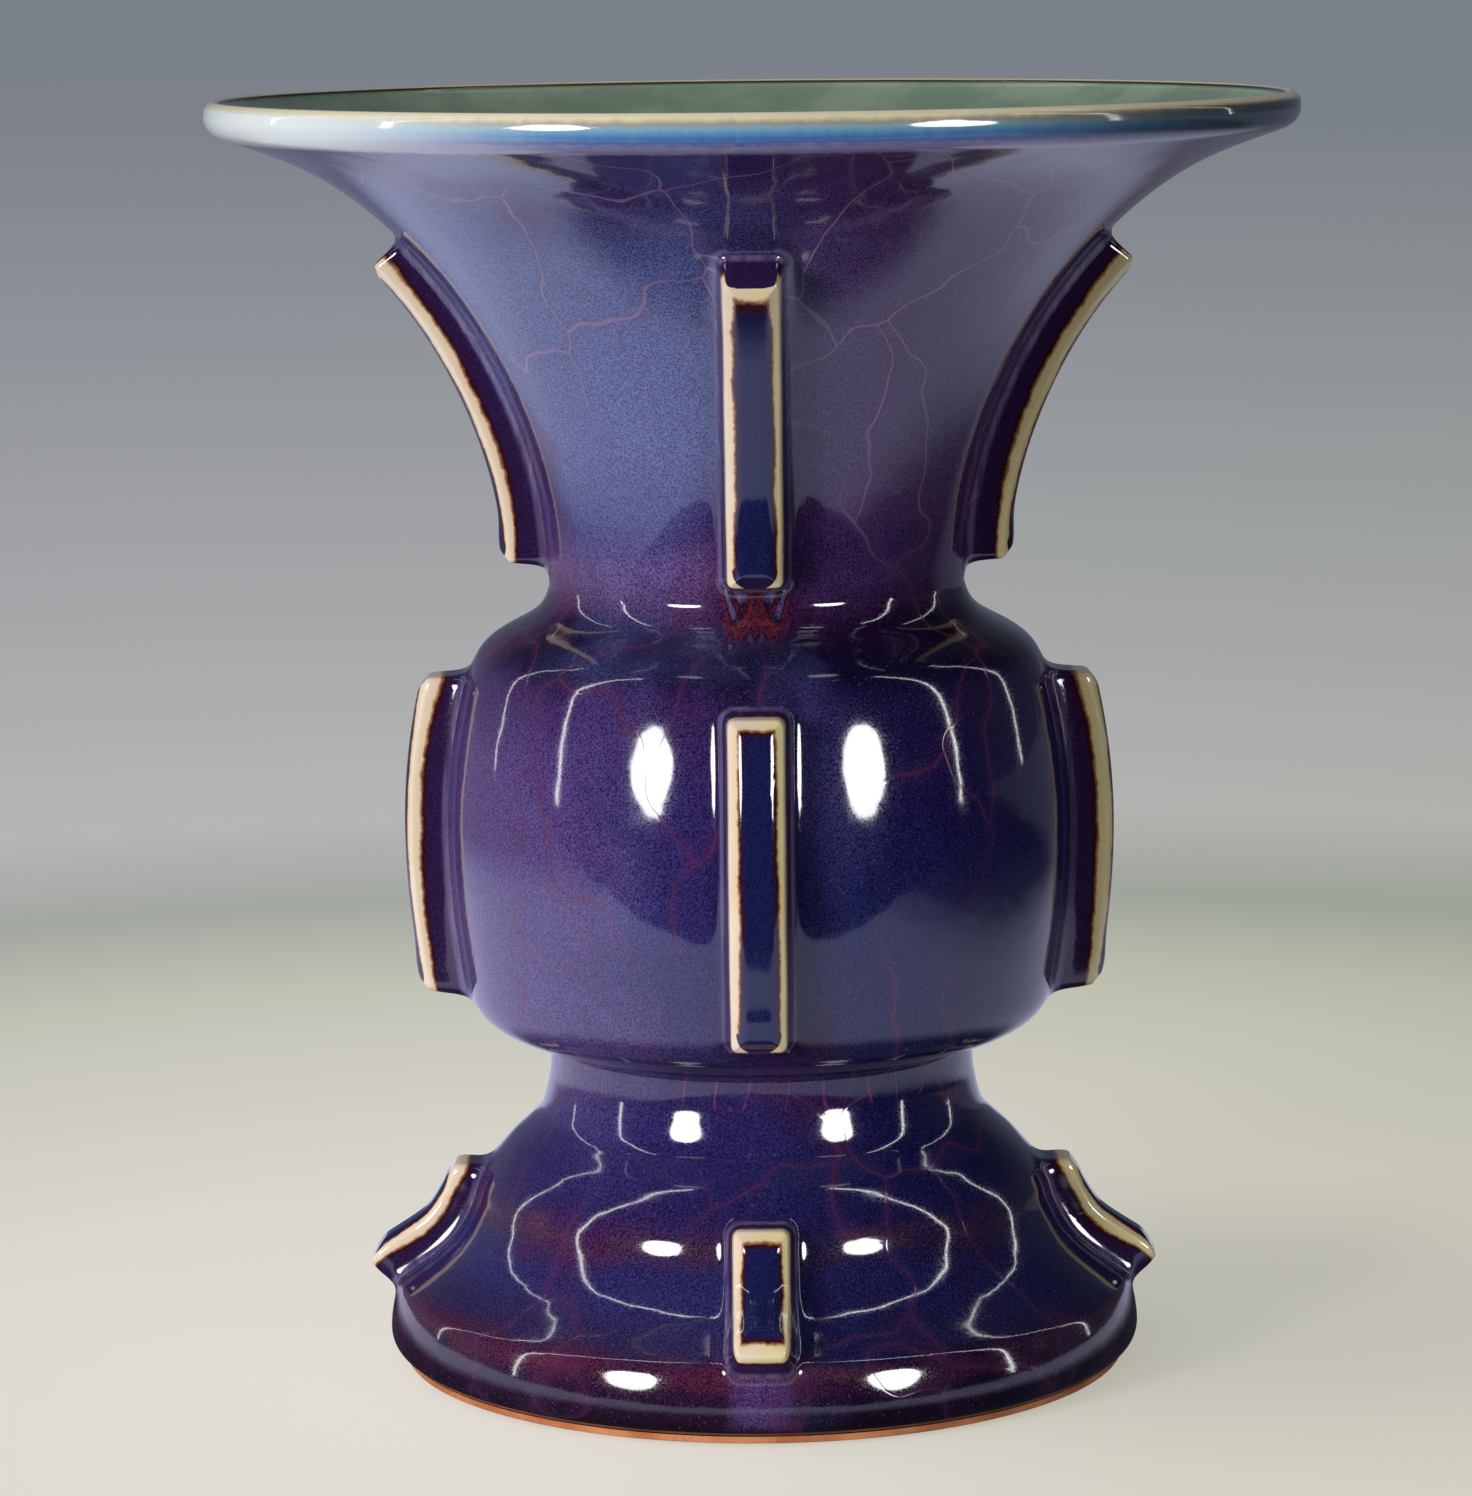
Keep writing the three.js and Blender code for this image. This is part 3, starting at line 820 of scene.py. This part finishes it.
def facing(piece, polygon):
    """How far a face of a turned piece points away from the axis, and up."""
    middle = polygon.center
    out = Vector((middle.x, middle.y, 0))
    if out.length > 0:
        out.normalize()
    return polygon.normal.dot(out), polygon.normal.z, math.hypot(middle.x, middle.y) / MM, middle.z / MM


def finish_faces(piece, finishes, choose):
    """Gives each face the finish that choose names for it."""
    names = list(finishes)
    for name in names:
        piece.data.materials.append(finishes[name])
    for polygon in piece.data.polygons:
        polygon.material_index = names.index(choose(*facing(piece, polygon)))


def foot_face(out, up, radius, height):
    if height < CLAY_HEIGHT:
        return "clay"
    return "wash" if out < -0.02 else "glaze"


def belly_face(out, up, radius, height):
    if up < -0.9 and radius < 45:
        return "wash"
    return "inside" if out < -0.02 or radius < BELLY_FLOOR_RADIUS else "glaze"


def neck_face(out, up, radius, height):
    return "inside" if (up > 0.02 or out < -0.02) and radius < RIM_RADIUS else "glaze"


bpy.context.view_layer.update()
deselect()

tracks = make_track_group()
speckle = make_speckle_group()
body_glaze = make_body_group(tracks, speckle)
purple = body_material(body_glaze)
edged = flange_material(body_glaze, speckle)
inside = inside_material()
clay = clay_material()
wash = wash_material()

foot, foot_line = throw_section("foot_section_glazed", [FOOT_OUTSIDE, FOOT_INSIDE], 3.4, 77.6)
finish_faces(foot, {"glaze": purple, "clay": clay, "wash": wash}, foot_face)
belly_runs = [BELLY_UNDERSIDE, BELLY_OUTSIDE, BELLY_INSIDE]
belly, belly_line = throw_section("belly_section_glazed", belly_runs, 82.5, 191.0, closed=False)
finish_faces(belly, {"glaze": purple, "inside": inside, "wash": wash}, belly_face)
neck, neck_line = throw_section("neck_section_glazed", [NECK_OUTSIDE + LIP + NECK_INSIDE], 193.0, 307.0)
finish_faces(neck, {"glaze": purple, "inside": inside}, neck_face)
for piece, node in ((foot, "foot_section"), (belly, "belly_section"), (neck, "neck_section")):
    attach(piece, "root")
    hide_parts(node)

foot_wall = Wall(run_of(foot_line, 0, FOOT_OUTSIDE))
belly_points = run_of(belly_line, len(BELLY_UNDERSIDE), BELLY_OUTSIDE)
upper_wall = Wall(belly_points + run_of(neck_line, 0, NECK_OUTSIDE)[1:])
add_flanges(Tier(
    "foot_flange", foot_wall, root=(18.8, 47.2), face=(18.8, 45.8), stand=(9.0, 7.4),
    cream=(1.3, 1.8, 2.3), pool=0.35, drip=0.0, cap=0.0,
), edged)
add_flanges(Tier(
    "belly_flange", upper_wall, root=(91.5, 169.4), face=(93.5, 167.4), stand=(9.8, 9.8),
    cream=(1.5, 2.0, 2.8), pool=0.5, drip=0.5, cap=0.0,
), edged)
add_flanges(Tier(
    "neck_flange", upper_wall, root=(197.0, 275.0), face=(197.0, 276.0), stand=(9.6, 9.0),
    cream=(1.4, 2.0, 2.9), pool=0.5, drip=0.6, cap=1.0,
), edged)

# The stage: a wide pale floor that turns grey with distance
LENS = 126.09
CAMERA_DISTANCE = 1.2633
CAMERA_HEIGHT = 0.34726
CAMERA_PITCH = 0.15441
CAMERA_ROLL = -0.01098
CAMERA_YAW = -0.00434
CAMERA_AZIMUTH = math.radians(0.4)
TABLE_FRONT = -0.37
# How bright the floor is as the glaze mirrors it, and where a soft shadow of the vase is painted on the floor
GLOSSY_FLOOR = 0.9
SHADE_PLACE = (0.13, 0.03)

# The floor's own colours, listed: warm white round the vase and sage further off, a greyer line where
# the table would end, and then a pale grey that turns blue-grey. Each has a share of the way to the far edge
FLOOR_COLORS = [
    (0.0, (232, 228, 220)), (0.18, (220, 215, 205)), (0.33, (185, 185, 172)), (0.385, (162, 166, 160)),
    (0.45, (182, 182, 182)), (0.9, (125, 130, 140)),
]
FLOOR_RADIUS = 12


def add_floor():
    bpy.ops.mesh.primitive_circle_add(vertices=96, radius=FLOOR_RADIUS, fill_type="NGON", location=(0, 0, 0))
    floor = bpy.context.object
    floor.name = "floor"
    material, tree, shader, place = new_material("pale_floor")
    split = tree.nodes.new("ShaderNodeSeparateXYZ")
    feed(tree, split.inputs[0], place)
    flat = tree.nodes.new("ShaderNodeVectorMath")
    flat.operation = "LENGTH"
    feed(tree, flat.inputs[0], place)
    distance = flat.outputs["Value"]
    share = calc(tree, "DIVIDE", distance, calc(tree, "ADD", distance, 1.0))
    color = color_steps(tree, share, [(position, srgb(*shown)) for position, shown in FLOOR_COLORS])
    path = tree.nodes.new("ShaderNodeLightPath")
    shown = path.outputs["Is Camera Ray"]
    mirrored = path.outputs["Is Glossy Ray"]
    front = calc(tree, "LESS_THAN", split.outputs["Y"], TABLE_FRONT)
    hidden = calc(tree, "MULTIPLY", front, calc(tree, "SUBTRACT", 1.0, shown))
    bare = tint(tree, hidden, color, srgb(26, 26, 34))
    feed(tree, shader.inputs["Base Color"], bare)
    shader.inputs["Roughness"].default_value = 0.9
    shader.inputs["Specular IOR Level"].default_value = 0.0

    side = calc(tree, "DIVIDE", split.outputs["X"], calc(tree, "ADD", distance, 0.05))
    right = between(tree, side, -0.25, 0.55)
    sided = tint(tree, right, color, tint(tree, 1.0, color, (0.91, 0.94, 0.87, 1), kind="MULTIPLY"))
    # As the glaze mirrors it, the floor's glow is brighter on the left as painted light, near black within
    # about 0.12 m of the axis as a painted shadow round the foot, and tinted blue as a painted reflection
    # colour
    bright = calc(tree, "MULTIPLY", between(tree, split.outputs["X"], -0.3, 0.05, 1.45, 0.95), GLOSSY_FLOOR)
    bright = calc(tree, "MULTIPLY", bright, between(tree, distance, 0.12, 0.19, 0.05, 1.0))
    bright = calc(tree, "MULTIPLY", bright, between(tree, distance, 0.45, 0.95, 1.0, 0.24))
    off_side = between(tree, split.outputs["X"], 0.3, 0.55, 0.0, 0.9)
    off_side = calc(tree, "MULTIPLY", off_side, between(tree, split.outputs["Y"], 0.4, 0.7, 1.0, 0.0))
    dim = calc(tree, "MAXIMUM", front, off_side)
    in_glaze = tint(tree, dim, (0.6, 0.63, 0.86, 1), (0.012, 0.012, 0.02, 1))
    glow = tree.nodes.new("ShaderNodeEmission")
    feed(tree, glow.inputs["Color"], tint(tree, mirrored, sided, in_glaze))
    # A soft shadow of the vase painted into the floor's glow, to the right of the foot
    shade_x = calc(tree, "POWER", calc(tree, "SUBTRACT", split.outputs["X"], SHADE_PLACE[0]), 2.0)
    shade_y = calc(tree, "POWER", calc(tree, "SUBTRACT", split.outputs["Y"], SHADE_PLACE[1]), 2.0)
    from_shade = calc(tree, "SQRT", calc(tree, "ADD", shade_x, shade_y))
    shade = between(tree, from_shade, 0.03, 0.17, 0.8, 1.0)
    plain = calc(tree, "MULTIPLY", between(tree, distance, 0.2, 0.7, 1.6, 1.0), shade)
    in_view = calc(tree, "MULTIPLY", shown, plain)
    feed(tree, glow.inputs["Strength"], calc(tree, "MULTIPLY_ADD", mirrored, bright, in_view))
    mixed = tree.nodes.new("ShaderNodeMixShader")
    far = calc(tree, "MULTIPLY", shown, between(tree, distance, 0.2, 0.7, 0.45, 1.0))
    feed(tree, mixed.inputs[0], calc(tree, "ADD", far, mirrored))
    tree.links.new(shader.outputs["BSDF"], mixed.inputs[1])
    tree.links.new(glow.outputs["Emission"], mixed.inputs[2])
    output = next(node for node in tree.nodes if node.type == "OUTPUT_MATERIAL")
    tree.links.new(mixed.outputs["Shader"], output.inputs["Surface"])
    floor.data.materials.append(material)


# The thin bright arches that the glaze mirrors, with posts beside the vase and a rail over it, in a room that
# reaches one unit to each side. Each arch has a place along Y, half its width and a brightness
ARCH_HEIGHT = 1.2
ARCHES = [(-0.18, 0.011, 14.0), (0.5, 0.009, 9.0)]


def add_world():
    """A grey room with soft light from the left, and thin bright arches that the glaze mirrors."""
    world = bpy.data.worlds.new("room")
    bpy.context.scene.world = world
    world.use_nodes = True
    tree = world.node_tree
    for node in list(tree.nodes):
        tree.nodes.remove(node)
    way = tree.nodes.new("ShaderNodeTexCoord").outputs["Generated"]
    split = tree.nodes.new("ShaderNodeSeparateXYZ")
    feed(tree, split.inputs[0], way)
    path = tree.nodes.new("ShaderNodeLightPath")
    behind = between(tree, split.outputs["Y"], -0.25, 0.35)
    upward = between(tree, split.outputs["Z"], 0.05, 0.55, 1.0, 0.2)
    to_right = between(tree, split.outputs["X"], 0.1, 0.7, 1.0, 0.3)
    lightness = calc(tree, "MULTIPLY", calc(tree, "MULTIPLY", behind, upward), to_right)
    mirrored = tint(tree, lightness, srgb(20, 21, 32), srgb(100, 106, 124))

    sideways = calc(tree, "ABSOLUTE", split.outputs["X"])
    reach = calc(tree, "MAXIMUM", sideways, calc(tree, "DIVIDE", split.outputs["Z"], ARCH_HEIGHT))
    reach = calc(tree, "MAXIMUM", reach, 0.001)
    along = calc(tree, "DIVIDE", split.outputs["Y"], reach)
    across = calc(tree, "DIVIDE", sideways, reach)
    shown = calc(tree, "GREATER_THAN", split.outputs["Z"], -0.02)
    shown = calc(tree, "MULTIPLY", shown, between(tree, across, 0.22, 0.4, 0.06, 1.0))
    bars = 0.0
    for place, half_width, bright in ARCHES:
        off_middle = calc(tree, "ABSOLUTE", calc(tree, "SUBTRACT", along, place))
        inside = calc(tree, "LESS_THAN", off_middle, half_width)
        bars = calc(tree, "MULTIPLY_ADD", inside, bright, bars)
    bars = calc(tree, "MULTIPLY", bars, shown)

    lit = tint(tree, between(tree, split.outputs["X"], -0.7, 0.7), srgb(206, 210, 218), srgb(98, 96, 94))
    seen = tint(tree, path.outputs["Is Camera Ray"], lit, srgb(122, 128, 138))
    color = tint(tree, path.outputs["Is Glossy Ray"], seen, mirrored)
    glow = tree.nodes.new("ShaderNodeBackground")
    feed(tree, glow.inputs["Color"], color)
    strips = tree.nodes.new("ShaderNodeBackground")
    feed(tree, strips.inputs["Strength"], calc(tree, "MULTIPLY", bars, path.outputs["Is Glossy Ray"]))
    both = tree.nodes.new("ShaderNodeAddShader")
    tree.links.new(glow.outputs["Background"], both.inputs[0])
    tree.links.new(strips.outputs["Background"], both.inputs[1])
    output = tree.nodes.new("ShaderNodeOutputWorld")
    tree.links.new(both.outputs["Shader"], output.inputs["Surface"])


def aim(item, place, target):
    item.location = place
    item.rotation_mode = "QUATERNION"
    item.rotation_quaternion = (Vector(target) - Vector(place)).to_track_quat("-Z", "Y")


LAMP_DISTANCE = 1.6
LAMP_AZIMUTH = 39.5
LAMP_ELEVATION = 9.0
LAMP_WIDTH = 0.47
# Each lamp is mirrored at one brightness and lights the vase at another
LAMP_SHINE = 17.0
LEFT_LIGHT = 26.0
RIGHT_LIGHT = 4.0
LAMP_TARGET = (0, 0, 0.15)


def add_lamp(name, side, radiance, mirrored):
    """A round soft lamp, left or right of the camera, that only its mirror image or only its light shows."""
    light = bpy.data.lights.new(name, "AREA")
    light.shape = "DISK"
    light.size = LAMP_WIDTH
    light.energy = radiance * math.pi * math.pi * (LAMP_WIDTH / 2) ** 2
    lamp = bpy.data.objects.new(name, light)
    bpy.context.scene.collection.objects.link(lamp)
    lamp.visible_glossy = mirrored
    lamp.visible_diffuse = not mirrored
    azimuth = math.radians(LAMP_AZIMUTH) * side
    flat = LAMP_DISTANCE * math.cos(math.radians(LAMP_ELEVATION))
    rise = LAMP_DISTANCE * math.sin(math.radians(LAMP_ELEVATION))
    place = Vector((flat * math.sin(azimuth), -flat * math.cos(azimuth), rise)) + Vector(LAMP_TARGET)
    aim(lamp, place, LAMP_TARGET)


def add_lamps():
    for name, side, radiance in (("left", -1, LEFT_LIGHT), ("right", 1, RIGHT_LIGHT)):
        add_lamp(name + "_shine", side, LAMP_SHINE, True)
        add_lamp(name + "_light", side, radiance, False)


def add_camera():
    data = bpy.data.cameras.new("camera")
    camera = bpy.data.objects.new("camera", data)
    bpy.context.scene.collection.objects.link(camera)
    bpy.context.scene.camera = camera
    data.lens = LENS
    data.sensor_width = 36
    forward = Vector((math.sin(CAMERA_YAW), math.cos(CAMERA_YAW), 0))
    right = Vector((math.cos(CAMERA_YAW), -math.sin(CAMERA_YAW), 0))
    up = forward * math.sin(CAMERA_PITCH) + Vector((0, 0, math.cos(CAMERA_PITCH)))
    ahead = forward * math.cos(CAMERA_PITCH) - Vector((0, 0, math.sin(CAMERA_PITCH)))
    turned_right = right * math.cos(CAMERA_ROLL) + up * math.sin(CAMERA_ROLL)
    turned_up = up * math.cos(CAMERA_ROLL) - right * math.sin(CAMERA_ROLL)
    pose = Matrix((turned_right, turned_up, -ahead)).transposed().to_4x4()
    pose.translation = (0, -CAMERA_DISTANCE, CAMERA_HEIGHT)
    camera.matrix_world = Matrix.Rotation(CAMERA_AZIMUTH, 4, "Z") @ pose
    data.clip_start = 0.05
    data.clip_end = 60


add_floor()
add_world()
add_lamps()
add_camera()

scene = bpy.context.scene
scene.view_settings.view_transform = "Standard"
